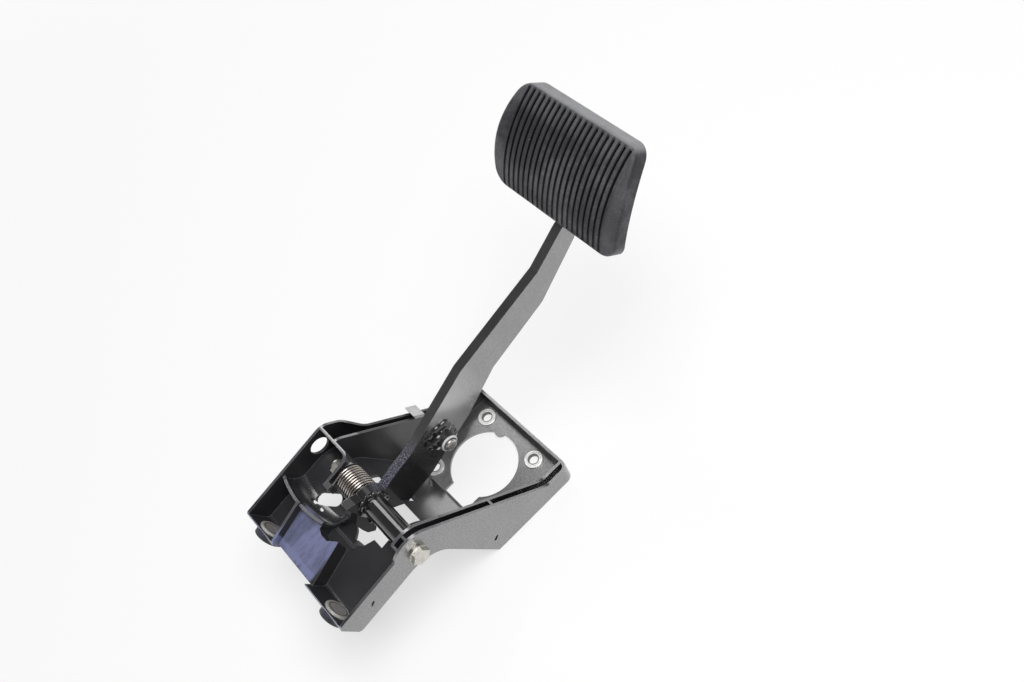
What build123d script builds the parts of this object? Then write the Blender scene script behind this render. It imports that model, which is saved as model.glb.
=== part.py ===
from build123d import *
import os
from math import acos, asin, atan2, cos, degrees, hypot, radians, sin, tan

os.makedirs("parts", exist_ok=True)

# Brake pedal assembly for a light truck: a moulded bracket, a flat steel arm
# on a sprung pivot and a rubber pad.
# X runs along the pivot, Y from the bracket's feet to the pad side, and Z away from the mounting flange.
# The origin is the centre of the four studs, on the flange's mounting face. Sizes are in millimetres.

# Mounting flange
stud_pitch = 66.0
hole_radius = 32.5
flange_near = -44.0
flange_far = 47.0
lip_height = 20.0
floor_thickness = 2.8
slot_left = -9.0
slot_right = 21.0
slot_near = -41.0
rim_tab_angle = 112.0
rim_tab_radius = 5.5
seat_rise = 0.2

# Side walls of the bracket
right_wall = 71.0
left_wall = -59.5
box_wall = -73.0
skin = 2.5
right_channel = 5.0
left_channel = 4.5
front_wall_angle = 64.5
knee_radius = 30.0
rim_low_y = 22.0
corner_radius = 8.0
foot_corner = 4.0
rim_bend = 14.0
jog_start = -66.0
jog_end = -54.0
end_thickness = 1.5
right_skin_end = -105.0
rib_thickness = 2.0
channel_ribs = (-104.0, -94.0, -25.0)
back_wall = -83.0
ledge_y = -76.0
opening_left = -25.0
opening_right = 37.0
opening_near = -128.0
box_floor_end = -113.0
pivot_wall_end = -113.0
floor_end = -108.0
arm_slot_width = 11.0
arm_slot_floor = 52.0
wall_slots = ((-40.0, 20.0), (-146.0, 88.0))
slot_length = 6.5
slot_width = 2.6

# Pivot
pivot_y = -94.0
pivot_z = 97.0
crest_radius = 22.0
pivot_wall = -28.0
bolt_radius = 5.0
spacer_radius = 7.0
tube_radius = 10.0
tube_wall = 1.9
running_gap = 0.06
side_play = 0.4
bush_flange = 1.5
bush_rim = 1.0
bush_length = 14.0
bolt_boss = 12.0
bolt_washer = 8.5
bolt_washer_height = 1.5
bolt_flats = 14.5
bolt_head_height = 5.0
bolt_end = -45.0
nut_seat = 5.0
nut_washer = 7.6
nut_height = 8.0
spanner_hole = 8.75

# Feet
foot_end_y = -178.0
foot_end_z = 95.0
foot_tilt = 11.5
foot_lean = 20.0
foot_depth = 28.0
foot_spread = 50.0
left_box_inner = -35.5
right_box_inner = 15.5
web_slant = 7.0
web_drop = 8.5
web_end = -173.0
wing_rim_y = -137.0
wing_rim_z = 97.0
wing_radius = 17.0
wing_start = 172.0
wing_sweep = 92.0
wing_middle = -38.0
wing_plan_radius = 104.0
wing_slot_length = 8.0
wing_slot_width = 2.4
wing_slot_places = ((-43.0, -129.0), (-32.5, -129.0))
drain_length = 26.0
drain_width = 11.5
drain_angle = 35.0
drain_place = (-34.0, -118.5)
pan_left = -12.5
pan_right = 14.5
pan_radius = 38.0
pan_start = 204.0
pan_sweep = 41.0
pan_lip = ((17.0, -122.5), (8.0, -124.6), (-1.0, -118.5), (-10.0, -115.0))
notch = ((11.5, -136.5), (3.0, -142.5), (-5.0, -142.5), (-11.5, -140.0), (-12.5, -132.0))
foot_boss_radius = 12.0
foot_boss_height = 4.5
foot_seat = 2.6
foot_shank = 7.5
foot_flange = 11.5
foot_head = 2.0
foot_thread = 4.2
foot_thread_depth = 7.5

# Pedal arm
arm_left = 0.5
arm_thickness = 9.0
pin_y = -16.0
pin_z = 100.0
pin_radius = 5.5
pin_bush_radius = 7.75
pin_bush_length = 9.5
pin_end = 24.5
pin_collar = 11.5
pin_collar_height = 3.0
hub_radius = 14.5
arm_top = ((156.0, 193.0), (122.6, 173.0), (27.0, 147.0), (-44.0, 110.5), (-65.0, 104.5))
hub_lobe = (
    (10.0, 1.0),
    (-3.0, 13.5),
    (-10.0, 17.0),
    (-18.0, 19.0),
    (-14.5, 3.0),
    (-22.0, -7.0),
    (-21.0, -19.0),
    (-19.5, -27.0),
    (-14.0, -33.0),
    (-3.0, -20.0),
    (4.0, -22.0),
    (13.5, -30.0),
    (20.0, -36.0),
)
arm_low = (
    (-41.0, 68.0), (12.0, 93.0), (52.0, 119.5), (116.0, 139.5),
    (164.0, 173.5), (188.0, 202.0), (206.0, 234.0),
)
tongue_end = 50.0
tongue_gap = 0.8

# Pad
pad_width = 140.5
pad_chord = 87.0
crown_radius = 99.0
crown_y = 250.0
crown_z = 183.0
pad_facing = 40.0
rubber_thickness = 10.0
plate_thickness = 3.0
groove_count = 20
groove_pitch = 5.75
groove_width = 1.9
groove_depth = 2.0
groove_from = 116.5
groove_to = 166.0
pad_centre = 4.5
pad_shift = (-0.75, -0.85)
left_low_inset = 6.6
left_top_inset = 8.8
right_low_inset = 0.8
right_top_inset = 11.2
pad_corner = 15.0
pad_edge = 4.0
pad_skirt = 4.0
pad_turn = -1.0
weld_gap = 0.1
skirt_recess = 0.6

# Clip on the left wall
clip_near = -18.0
clip_far = -9.0
clip_rise = 5.0
clip_leg = 8.0
clip_overhang = 4.0

# Return spring
wire_radius = 1.3
coil_radius = 12.2
coil_turns = 8.5
coil_pitch = 2.7
coil_start = -25.0
leg_slope = 15.0
left_leg = 17.0
right_leg = 15.0
hook_length = 14.0
hook_gap = 0.3
lug_length = 5.0
lug_reach = 7.0

# Sleeves
sleeve_bore = 4.5
sleeve_shank = 6.5
sleeve_flange = 8.75
sleeve_lip = 1.0
insert_gap = 0.03

arm_right = arm_left + arm_thickness
arm_mid = arm_left + arm_thickness / 2
right_inner = right_wall - 2 * skin - right_channel
left_inner = left_wall + 2 * skin + left_channel
tall = 140.0
tilt = radians(foot_tilt)
lean = radians(foot_lean)
foot_centres = (-foot_spread, foot_spread)
pan_end = radians(pan_start + pan_sweep)
pan_end_y = pivot_y + pan_radius * cos(pan_end)
web_left_near = (left_box_inner + web_slant / 2, foot_end_y)
web_left_far = (left_box_inner - web_slant / 2, wing_rim_y)
web_right_near = (right_box_inner + web_slant / 2, foot_end_y)
leg_top = pivot_z + coil_radius / cos(radians(leg_slope)) + wire_radius / cos(radians(leg_slope))
lug_z = leg_top - (pivot_y - pivot_wall_end - lug_length) * tan(radians(leg_slope)) + insert_gap
groove_start = pad_centre - groove_width / 2 - (groove_count - 1) / 2 * groove_pitch
groove_planes = [Plane.YZ.offset(groove_start + i * groove_pitch) for i in range(groove_count)]


def rim_height(y):
    """Height of the foot's rim at a place along the foot."""
    return foot_end_z + (y - foot_end_y) * tan(tilt)



# Corners of the wall's side view, worked out from the driving dimensions
foot_low_y = foot_end_y + foot_depth * sin(lean)
foot_low_z = foot_end_z - foot_depth * cos(lean)
front_slope = tan(radians(front_wall_angle))
knee_y = (foot_low_z - foot_low_y * tan(tilt) - flange_near * front_slope) / (-front_slope - tan(tilt))
knee_z = (flange_near - knee_y) * front_slope

# The rim runs tangent to the crest around the pivot on the flange side
reach = hypot(rim_low_y - pivot_y, lip_height - pivot_z)
tangent_angle = degrees(atan2(lip_height - pivot_z, rim_low_y - pivot_y) + acos(crest_radius / reach))

diagonal = tan(radians(tangent_angle + 90))

# and the foot's rim cuts into the crest on the other side
rim_at_pivot = foot_end_z + (pivot_y - foot_end_y) * tan(tilt)
rim_distance = (rim_at_pivot - pivot_z) * cos(tilt)
crest_end_angle = 90 + foot_tilt + degrees(acos(rim_distance / crest_radius))

# Side view of the walls: flange, low rim, diagonal rim, crest, foot, knee and front edge
with BuildSketch(Plane.YZ) as outline:
    with BuildLine():
        crest = CenterArc((pivot_y, pivot_z), crest_radius, tangent_angle, crest_end_angle - tangent_angle)
        Polyline(
            crest @ 1,
            (foot_end_y, foot_end_z),
            (foot_low_y, foot_low_z),
            (knee_y, knee_z),
            (flange_near, 0),
            (flange_far, 0),
            (flange_far, lip_height),
            (rim_low_y, lip_height),
            crest @ 0,
        )
    make_face()
    fillet(outline.vertices().sort_by_distance((knee_y, knee_z))[0], knee_radius)
    fillet(outline.vertices().sort_by_distance((foot_end_y, foot_end_z))[0], foot_corner)
    fillet(outline.vertices().sort_by_distance((foot_low_y, foot_low_z))[0], foot_corner)
    fillet(outline.vertices().sort_by_distance((rim_low_y, lip_height))[0], rim_bend)


# The left wall has no crest: its rims run on until they meet
apex_y = (lip_height - rim_low_y * diagonal - foot_end_z + foot_end_y * tan(tilt)) / (tan(tilt) - diagonal)
apex_z = foot_end_z + (apex_y - foot_end_y) * tan(tilt)
with BuildSketch(Plane.YZ) as left_outline:
    with BuildLine():
        Polyline(
            (apex_y, apex_z),
            (foot_end_y, foot_end_z),
            (foot_low_y, foot_low_z),
            (knee_y, knee_z),
            (flange_near, 0),
            (flange_far, 0),
            (flange_far, lip_height),
            (rim_low_y, lip_height),
            close=True,
        )
    make_face()
    fillet(left_outline.vertices().sort_by_distance((knee_y, knee_z))[0], knee_radius)
    fillet(left_outline.vertices().sort_by_distance((foot_end_y, foot_end_z))[0], foot_corner)
    fillet(left_outline.vertices().sort_by_distance((foot_low_y, foot_low_z))[0], foot_corner)
    fillet(left_outline.vertices().sort_by_distance((rim_low_y, lip_height))[0], rim_bend)
    fillet(left_outline.vertices().sort_by_distance((apex_y, apex_z))[0], rim_bend)

# Plan view of the whole moulding: the left wall jogs inwards between the foot box and the flange
with BuildSketch(Plane.XY) as plan:
    with BuildLine():
        Polyline(
            (right_wall, flange_far),
            (right_wall, foot_end_y - corner_radius),
            (box_wall, foot_end_y - corner_radius),
            (box_wall, jog_start),
            (left_wall, jog_end),
            (left_wall, flange_far),
            close=True,
        )
    make_face()
    fillet(plan.vertices().group_by(Axis.Y)[-1], corner_radius)
    fillet(plan.vertices().sort_by_distance((box_wall, jog_start))[0], corner_radius)
    fillet(plan.vertices().sort_by_distance((left_wall, jog_end))[0], corner_radius)

# Hollow of the moulding: the same side view moved off the floor, inside the plan's skin
with BuildPart() as hollow:
    with BuildSketch(Plane.YZ.offset(box_wall)):
        with Locations((end_thickness, floor_thickness)):
            add(outline.sketch_local)
    extrude(amount=right_wall - box_wall)
    with BuildSketch(Plane.XY):
        add(plan.sketch_local)
        offset(amount=-skin, mode=Mode.REPLACE)
    extrude(amount=tall, mode=Mode.INTERSECT)

# Inner walls, drawn in plan and trimmed to the same rim as the outer walls
with BuildPart() as partitions:
    with BuildSketch(Plane.XY):
        with BuildLine():
            Polyline((left_inner - skin / 2, flange_far - skin / 2), (left_inner - skin / 2, back_wall))
        trace(line_width=skin)
        with BuildLine():
            FilletPolyline(
                (box_wall + skin / 2, back_wall),
                (pivot_wall - skin / 2, back_wall),
                (pivot_wall - skin / 2, pivot_wall_end),
                radius=corner_radius,
            )
        trace(line_width=skin)
        with BuildLine():
            Polyline(web_left_near, web_left_far)
        trace(line_width=skin)
    extrude(amount=tall)
    with BuildSketch(Plane.YZ.offset(box_wall)):
        add(left_outline.sketch_local)
    extrude(amount=right_inner - skin - box_wall, mode=Mode.INTERSECT)

# Skin and ribs of the right wall's channel, trimmed to the crest
with BuildPart() as right_skin:
    with BuildSketch(Plane.XY):
        right_skin_length = flange_far - skin / 2 - right_skin_end
        with Locations((right_inner + skin / 2, right_skin_end + right_skin_length / 2)):
            Rectangle(skin, right_skin_length)
        with Locations(*[(right_inner + skin + right_channel / 2, y) for y in channel_ribs]):
            Rectangle(right_channel + skin, rib_thickness)
    extrude(amount=tall)
    with BuildSketch(Plane.YZ.offset(right_inner)):
        add(outline.sketch_local)
    extrude(amount=right_wall - right_inner, mode=Mode.INTERSECT)

# Plan of the gap between the feet, with a notch beside the saddle
with BuildSketch(Plane.XY) as foot_gap:
    with BuildLine():
        Polyline(
            (web_left_near[0], foot_end_y - corner_radius),
            (web_right_near[0], foot_end_y - corner_radius),
            web_right_near,
            *notch,
            (web_left_far[0], wing_rim_y + skin),
            web_left_near,
            close=True,
        )
    make_face()

# Web that ties the feet, just under their rims
with BuildPart() as web:
    with BuildSketch(Plane.XY):
        add(foot_gap.sketch_local)
        with Locations(((left_box_inner + right_box_inner) / 2, foot_end_y)):
            Rectangle(box_wall - right_wall, 2 * (web_end - foot_end_y), mode=Mode.SUBTRACT)
    extrude(amount=tall)
    with BuildSketch(Plane.YZ.offset(box_wall)):
        with Locations((0, -web_drop)):
            add(left_outline.sketch_local)
        with Locations((0, -web_drop - skin)):
            add(left_outline.sketch_local, mode=Mode.SUBTRACT)
    extrude(amount=right_wall - box_wall, mode=Mode.INTERSECT)

# Turned-down edge of the web, along the right foot and round the notch
with BuildPart() as web_edge:
    with BuildSketch(Plane.XY):
        with BuildLine():
            Polyline((right_box_inner + web_slant / 2, web_end), *notch)
        trace(line_width=skin)
    extrude(amount=tall)
    for drop in (0, web_drop):
        with BuildSketch(Plane.YZ.offset(box_wall)):
            with Locations((0, -drop)):
                add(left_outline.sketch_local)
        extrude(amount=right_wall - box_wall, mode=Mode.INTERSECT)

# Wing: a hollow-faced fin that rises from the floor behind the web, bowed towards the feet
wing_axis = Axis((wing_middle, wing_rim_y + wing_plan_radius, 0), (0, 0, 1))
with BuildPart() as wing:
    with BuildSketch(Plane.YZ.offset(wing_middle)):
        with BuildLine():
            wing_centre = (wing_rim_y + wing_radius, wing_rim_z)
            face = CenterArc(wing_centre, wing_radius, wing_start, wing_sweep)
            back = CenterArc(wing_centre, wing_radius + skin, wing_start, wing_sweep)
            Line(face @ 0, back @ 0)
            Line(face @ 1, back @ 1)
        make_face()
    revolve(axis=wing_axis, revolution_arc=25)
    add(mirror(wing.part, Plane.YZ.offset(wing_middle), mode=Mode.PRIVATE))
    with BuildSketch(Plane.XY):
        with Locations(((box_wall + pan_left) / 2 + skin, wing_rim_y)):
            Rectangle(pan_left - box_wall + skin, 2 * wing_plan_radius)
    extrude(amount=tall, mode=Mode.INTERSECT)

# Pan under the hub: a trough about the pivot, closed at its sides, that clears the hub's swing
with BuildPart() as pan:
    with BuildSketch(Plane.YZ.offset(pan_left - skin)):
        with BuildLine():
            under = CenterArc((pivot_y, pivot_z), pan_radius + skin, pan_start, pan_sweep)
            Polyline(under @ 1, (pan_end_y, (under @ 0).Y), under @ 0)
        make_face()
    extrude(amount=pan_right - pan_left + 2 * skin)
    with BuildSketch(Plane.YZ.offset(pan_left)):
        with Locations((pivot_y, pivot_z)):
            Circle(pan_radius)
    extrude(amount=pan_right - pan_left, mode=Mode.SUBTRACT)
    with BuildSketch(Plane.XY):
        with BuildLine():
            Polyline(
                (pan_left - skin, wing_rim_y),
                (pan_right + skin, wing_rim_y),
                *pan_lip,
                (pan_left, floor_end),
                (pan_left - skin, floor_end),
                close=True,
            )
        make_face()
    extrude(amount=tall, mode=Mode.INTERSECT)

# Planes across the feet: normal to the end walls, through the middle of each sleeve
foot_mid_y = (foot_end_y + foot_low_y) / 2
foot_mid_z = (foot_end_z + foot_low_z) / 2
foot_axis = (0, -cos(lean), -sin(lean))
foot_planes = [Plane((x, foot_mid_y, foot_mid_z), x_dir=(1, 0, 0), z_dir=foot_axis) for x in foot_centres]

# Bracket: one moulding
with BuildPart() as bracket:
    with BuildSketch(Plane.YZ):
        add(outline.sketch_local)
    extrude(amount=right_wall)
    with BuildSketch(Plane.YZ):
        add(left_outline.sketch_local)
    extrude(amount=box_wall)
    with BuildSketch(Plane.XY):
        add(plan.sketch_local)
    extrude(amount=tall, mode=Mode.INTERSECT)
    add(hollow.part, mode=Mode.SUBTRACT)

    # open middle: under the arm's hub, and between the feet
    with BuildSketch(Plane.XY):
        with BuildLine():
            Polyline(
                (opening_left, ledge_y),
                (opening_right, ledge_y),
                (opening_right, box_floor_end),
                (pan_right + 1.5 * corner_radius, box_floor_end),
                (pan_right + corner_radius, pan_lip[0][1]),
                (pan_right, opening_near),
                (pan_left, opening_near),
                (pan_left, floor_end),
                (opening_left, floor_end),
                close=True,
            )
        make_face()
        add(foot_gap.sketch_local)
    extrude(amount=tall, mode=Mode.SUBTRACT)

    # slot in the front wall that the arm swings through
    with BuildSketch(Plane.XY.offset(arm_slot_floor)):
        with Locations((arm_mid, (ledge_y + flange_near) / 2)):
            Rectangle(arm_slot_width, flange_near - ledge_y)
    extrude(amount=tall, mode=Mode.SUBTRACT)

    add(partitions.part)
    add(right_skin.part)
    add(web.part)
    add(web_edge.part)

    add(wing.part)
    add(pan.part)

    # drain hole in the floor, and two slots beside it at the wing's foot
    with BuildSketch(Plane.XY):
        with Locations(Location(drain_place, drain_angle)):
            SlotOverall(drain_length, drain_width)
        with Locations(*wing_slot_places):
            SlotOverall(wing_slot_length, wing_slot_width)
    extrude(amount=wing_rim_z - wing_radius / 3, mode=Mode.SUBTRACT)

    # flange opening for the pushrod, with its cut towards the front wall
    with BuildSketch(Plane.XY):
        Circle(hole_radius)
        with Locations(((slot_left + slot_right) / 2, slot_near / 2)):
            Rectangle(slot_right - slot_left, -slot_near)
        with Locations(Location((0, 0), rim_tab_angle)):
            with Locations((hole_radius + rim_tab_radius / 3, 0)):
                Circle(rim_tab_radius, mode=Mode.SUBTRACT)
    extrude(amount=floor_thickness, mode=Mode.SUBTRACT)

    # seats and holes for the stud sleeves
    with BuildSketch(Plane.XY.offset(floor_thickness)):
        with GridLocations(stud_pitch, stud_pitch, 2, 2):
            Circle(sleeve_flange + 1.5)
    extrude(amount=seat_rise)
    with BuildSketch(Plane.XY):
        with GridLocations(stud_pitch, stud_pitch, 2, 2):
            Circle(sleeve_shank + insert_gap)
    extrude(amount=tall, mode=Mode.SUBTRACT)

    # bosses and holes in the foot ends
    with BuildSketch(*foot_planes):
        Circle(foot_boss_radius)
    extrude(amount=foot_boss_height)
    with BuildSketch(*foot_planes):
        Circle(foot_shank + insert_gap)
    extrude(amount=foot_boss_height, both=True, mode=Mode.SUBTRACT)
    with BuildSketch(*[plane.offset(-foot_seat) for plane in foot_planes]):
        Circle(foot_flange + 1)
    extrude(amount=-foot_boss_height, mode=Mode.SUBTRACT)

    # bosses round the pivot bolt, then its hole and the spanner hole in the left wall
    with BuildSketch(Plane.YZ.offset(right_inner)):
        with Locations((pivot_y, pivot_z)):
            Circle(bolt_boss)
    extrude(amount=right_wall - skin / 2 - right_inner)
    with BuildSketch(Plane.YZ.offset(pivot_wall - nut_seat)):
        with Locations((pivot_y, pivot_z)):
            Circle(bolt_boss)
    extrude(amount=nut_seat)
    with BuildSketch(Plane.YZ.offset(pivot_wall - 2 * nut_seat)):
        with Locations((pivot_y, pivot_z)):
            Circle(bolt_radius + insert_gap)
    extrude(amount=right_wall + 3 * nut_seat - pivot_wall, mode=Mode.SUBTRACT)
    with BuildSketch(Plane.YZ.offset(box_wall)):
        with Locations((pivot_y, pivot_z)):
            Circle(spanner_hole)
    extrude(amount=skin, mode=Mode.SUBTRACT)

    # lug over the spring's fixed leg
    with BuildSketch(Plane.YZ.offset(pivot_wall - skin / 2)):
        with Locations((pivot_wall_end + lug_length / 2, lug_z + skin / 2)):
            Rectangle(lug_length, skin)
    extrude(amount=lug_reach)

    # two small moulding slots in the right wall
    with BuildSketch(Plane.YZ.offset(right_wall - skin)):
        with Locations(*wall_slots):
            SlotOverall(slot_length, slot_width, rotation=45)
    extrude(amount=skin, mode=Mode.SUBTRACT)
bracket.part.label = "bracket"
export_step(bracket.part, "parts/bracket.step")

# Stud sleeves: flanged steel bushes that take the clamp load through the moulding
sleeve_names = (
    "stud_sleeve_front_left",
    "stud_sleeve_rear_left",
    "stud_sleeve_front_right",
    "stud_sleeve_rear_right",
)
sleeve_top = floor_thickness + seat_rise
sleeve_places = [(sx * stud_pitch / 2, sy * stud_pitch / 2) for sx in (-1, 1) for sy in (-1, 1)]
for label, place in zip(sleeve_names, sleeve_places):
    with BuildPart() as stud_sleeve:
        with BuildSketch(Plane.XY):
            with Locations(place):
                Circle(sleeve_shank)
        extrude(amount=sleeve_top)
        with BuildSketch(Plane.XY.offset(sleeve_top)):
            with Locations(place):
                Circle(sleeve_flange)
        extrude(amount=sleeve_lip)
        chamfer(stud_sleeve.faces().sort_by(Axis.Z)[-1].edges(), sleeve_lip / 3)
        with BuildSketch(Plane.XY):
            with Locations(place):
                Circle(sleeve_bore)
        extrude(amount=sleeve_top + sleeve_lip, mode=Mode.SUBTRACT)
    stud_sleeve.part.label = label
    export_step(stud_sleeve.part, "parts/" + label + ".step")

# Foot inserts: blind nuts with a broad head inside the foot and the thread open outwards
for label, plane in zip(("foot_insert_left", "foot_insert_right"), foot_planes):
    with BuildPart() as foot_insert:
        with BuildSketch(plane.offset(-foot_seat)):
            Circle(foot_shank)
        extrude(amount=foot_seat + foot_boss_height)
        with BuildSketch(plane.offset(-foot_seat)):
            Circle(foot_flange)
        extrude(amount=-foot_head)
        chamfer(foot_insert.faces().sort_by(Axis(plane.origin, plane.z_dir))[0].edges(), foot_head / 2)
        with BuildSketch(plane.offset(foot_boss_height)):
            Circle(foot_thread)
        extrude(amount=-foot_thread_depth, mode=Mode.SUBTRACT)
    foot_insert.part.label = label
    export_step(foot_insert.part, "parts/" + label + ".step")

# Pivot bolt: hexagon head with a washer face on the right wall
with BuildPart() as pivot_bolt:
    with BuildSketch(Plane.YZ.offset(right_wall)):
        with Locations((pivot_y, pivot_z)):
            Circle(bolt_washer)
    extrude(amount=bolt_washer_height)
    with BuildSketch(Plane.YZ.offset(right_wall + bolt_washer_height)):
        with Locations((pivot_y, pivot_z)):
            RegularPolygon(bolt_flats / 2, 6, major_radius=False)
    extrude(amount=bolt_head_height)
    with BuildSketch(Plane.YZ.offset(right_wall)):
        with Locations((pivot_y, pivot_z)):
            Circle(bolt_radius)
    extrude(amount=bolt_end - right_wall)
    chamfer(pivot_bolt.faces().sort_by(Axis.X)[0].edges(), bolt_radius / 5)
pivot_bolt.part.label = "pivot_bolt"
export_step(pivot_bolt.part, "parts/pivot_bolt.step")

# Pivot nut, inside the left box
with BuildPart() as pivot_nut:
    with BuildSketch(Plane.YZ.offset(pivot_wall - nut_seat)):
        with Locations((pivot_y, pivot_z)):
            RegularPolygon(bolt_flats / 2, 6, major_radius=False, rotation=30)
            Circle(bolt_radius + insert_gap, mode=Mode.SUBTRACT)
    extrude(amount=-nut_height)
    with BuildSketch(Plane.YZ.offset(pivot_wall - nut_seat)):
        with Locations((pivot_y, pivot_z)):
            Circle(nut_washer)
            Circle(bolt_radius + insert_gap, mode=Mode.SUBTRACT)
    extrude(amount=-bolt_washer_height)
pivot_nut.part.label = "pivot_nut"
export_step(pivot_nut.part, "parts/pivot_nut.step")

# Spacer: keeps the walls apart when the bolt is tight, and is the pedal's bearing
with BuildPart() as pivot_spacer:
    with BuildSketch(Plane.YZ.offset(pivot_wall)):
        with Locations((pivot_y, pivot_z)):
            Circle(spacer_radius)
            Circle(bolt_radius + insert_gap, mode=Mode.SUBTRACT)
    extrude(amount=right_inner - pivot_wall)
pivot_spacer.part.label = "pivot_spacer"
export_step(pivot_spacer.part, "parts/pivot_spacer.step")

# Pivot bushes: flanged plastic bushes pushed into the ends of the tube
bush_outer = tube_radius - tube_wall - insert_gap
tube_left = pivot_wall + side_play + bush_flange
tube_right = right_inner - side_play - bush_flange
for label, end, way in (("pivot_bush_left", tube_left, 1), ("pivot_bush_right", tube_right, -1)):
    with BuildPart() as pivot_bush:
        with BuildSketch(Plane.YZ.offset(end)):
            with Locations((pivot_y, pivot_z)):
                Circle(tube_radius + bush_rim)
                Circle(spacer_radius + running_gap, mode=Mode.SUBTRACT)
        extrude(amount=-way * bush_flange)
        with BuildSketch(Plane.YZ.offset(end)):
            with Locations((pivot_y, pivot_z)):
                Circle(bush_outer)
                Circle(spacer_radius + running_gap, mode=Mode.SUBTRACT)
        extrude(amount=way * bush_length)
    pivot_bush.part.label = label
    export_step(pivot_bush.part, "parts/" + label + ".step")

# Pivot tube, welded through the arm's hub
with BuildPart() as pivot_tube:
    with BuildSketch(Plane.YZ.offset(tube_left)):
        with Locations((pivot_y, pivot_z)):
            Circle(tube_radius)
            Circle(tube_radius - tube_wall, mode=Mode.SUBTRACT)
    extrude(amount=tube_right - tube_left)
pivot_tube.part.label = "pivot_tube"
export_step(pivot_tube.part, "parts/pivot_tube.step")

# Return spring: wound on the tube, one leg under a lug of the bracket and the other hooked through the arm
turn = radians(leg_slope)
coil_plane = Plane((coil_start, pivot_y, pivot_z), x_dir=(0, -sin(turn), cos(turn)), z_dir=(1, 0, 0))
coil = coil_plane.location * Helix(coil_pitch, coil_pitch * coil_turns, coil_radius, lefthand=True)
leg_end = coil @ 1 + (coil % 1) * right_leg
with BuildPart() as return_spring:
    with BuildLine() as wire_path:
        add(coil)
        Line(coil @ 0 - (coil % 0) * left_leg, coil @ 0)
        Line(coil @ 1, leg_end)
        Line(leg_end, leg_end + Vector(hook_length, 0, 0))
    with BuildSketch(Plane(coil @ 0 - (coil % 0) * left_leg, z_dir=coil % 0)):
        Circle(wire_radius)
    sweep(path=wire_path.wires()[0], transition=Transition.ROUND)
return_spring.part.label = "return_spring"
export_step(return_spring.part, "parts/return_spring.step")

# Pedal arm: one flat plate, bent in its own plane, with its end shaped to the underside of the pad plate
plate_under = crown_radius - rubber_thickness - plate_thickness
tongue_start = pad_facing - degrees(asin((pad_chord / 2 + tongue_gap) / plate_under))
with BuildPart() as pedal_arm:
    with BuildSketch(Plane.YZ.offset(arm_left)) as arm_shape:
        with BuildLine():
            seat = CenterArc(
                (crown_y, crown_z), plate_under - weld_gap,
                180 - tongue_start, tongue_start - tongue_end,
            )
            Polyline(
                seat @ 0,
                *arm_top,
                *[(pivot_y + y, pivot_z + z) for y, z in hub_lobe],
                *arm_low,
                seat @ 1,
            )
        make_face()
        with Locations((pivot_y, pivot_z)):
            Circle(hub_radius)
    extrude(amount=arm_thickness)
    with BuildSketch(Plane.YZ.offset(arm_right)):
        with Locations((pin_y, pin_z)):
            Circle(pin_collar)
    extrude(amount=pin_collar_height, taper=35)
    with BuildSketch(Plane.YZ.offset(arm_left)):
        with Locations((pivot_y, pivot_z)):
            Circle(tube_radius + insert_gap)
        with Locations((pin_y, pin_z)):
            Circle(pin_radius + insert_gap)
        with Locations((leg_end.Y, leg_end.Z)):
            Circle(wire_radius + hook_gap)
    extrude(amount=arm_thickness + pin_collar_height, mode=Mode.SUBTRACT)
pedal_arm.part.label = "pedal_arm"
export_step(pedal_arm.part, "parts/pedal_arm.step")

# Pushrod pin, with a domed end
with BuildPart() as pushrod_pin:
    with BuildSketch(Plane.YZ.offset(arm_left)):
        with Locations((pin_y, pin_z)):
            Circle(pin_radius)
    extrude(amount=pin_end - arm_left)
    fillet(pushrod_pin.faces().sort_by(Axis.X)[-1].edges(), pin_radius / 3)
pushrod_pin.part.label = "pushrod_pin"
export_step(pushrod_pin.part, "parts/pushrod_pin.step")

# Bush on the pin
with BuildPart() as pin_bush:
    with BuildSketch(Plane.YZ.offset(arm_right + pin_collar_height)):
        with Locations((pin_y, pin_z)):
            Circle(pin_bush_radius)
            Circle(pin_radius + insert_gap, mode=Mode.SUBTRACT)
    extrude(amount=pin_bush_length)
    chamfer(pin_bush.faces().sort_by(Axis.X)[-1].outer_wire().edges(), 0.8)
pin_bush.part.label = "pin_bush"
export_step(pin_bush.part, "parts/pin_bush.step")

# Clip on the left wall: a cap over the rim, with a leg pushed into the channel between the skins
def rim_above(y, rise):
    """A point of the side view, above the diagonal rim."""
    return (y, lip_height + (y - rim_low_y) * diagonal + rise)


with BuildPart() as wall_clip:
    with BuildSketch(Plane.YZ.offset(left_wall - clip_overhang)):
        with BuildLine():
            Polyline(
                rim_above(clip_near, 0),
                rim_above(clip_far, 0),
                rim_above(clip_far, clip_rise),
                rim_above(clip_near, clip_rise),
                close=True,
            )
        make_face()
    extrude(amount=left_inner - left_wall + clip_overhang)
    with BuildSketch(Plane.YZ.offset(left_wall + skin + insert_gap)):
        with BuildLine():
            Polyline(
                rim_above(clip_near, 1),
                rim_above(clip_far, 1),
                rim_above(clip_far, -clip_leg),
                rim_above(clip_near, -clip_leg),
                close=True,
            )
        make_face()
    extrude(amount=left_channel - 2 * insert_gap)
wall_clip.part.label = "wall_clip"
export_step(wall_clip.part, "parts/wall_clip.step")

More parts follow.
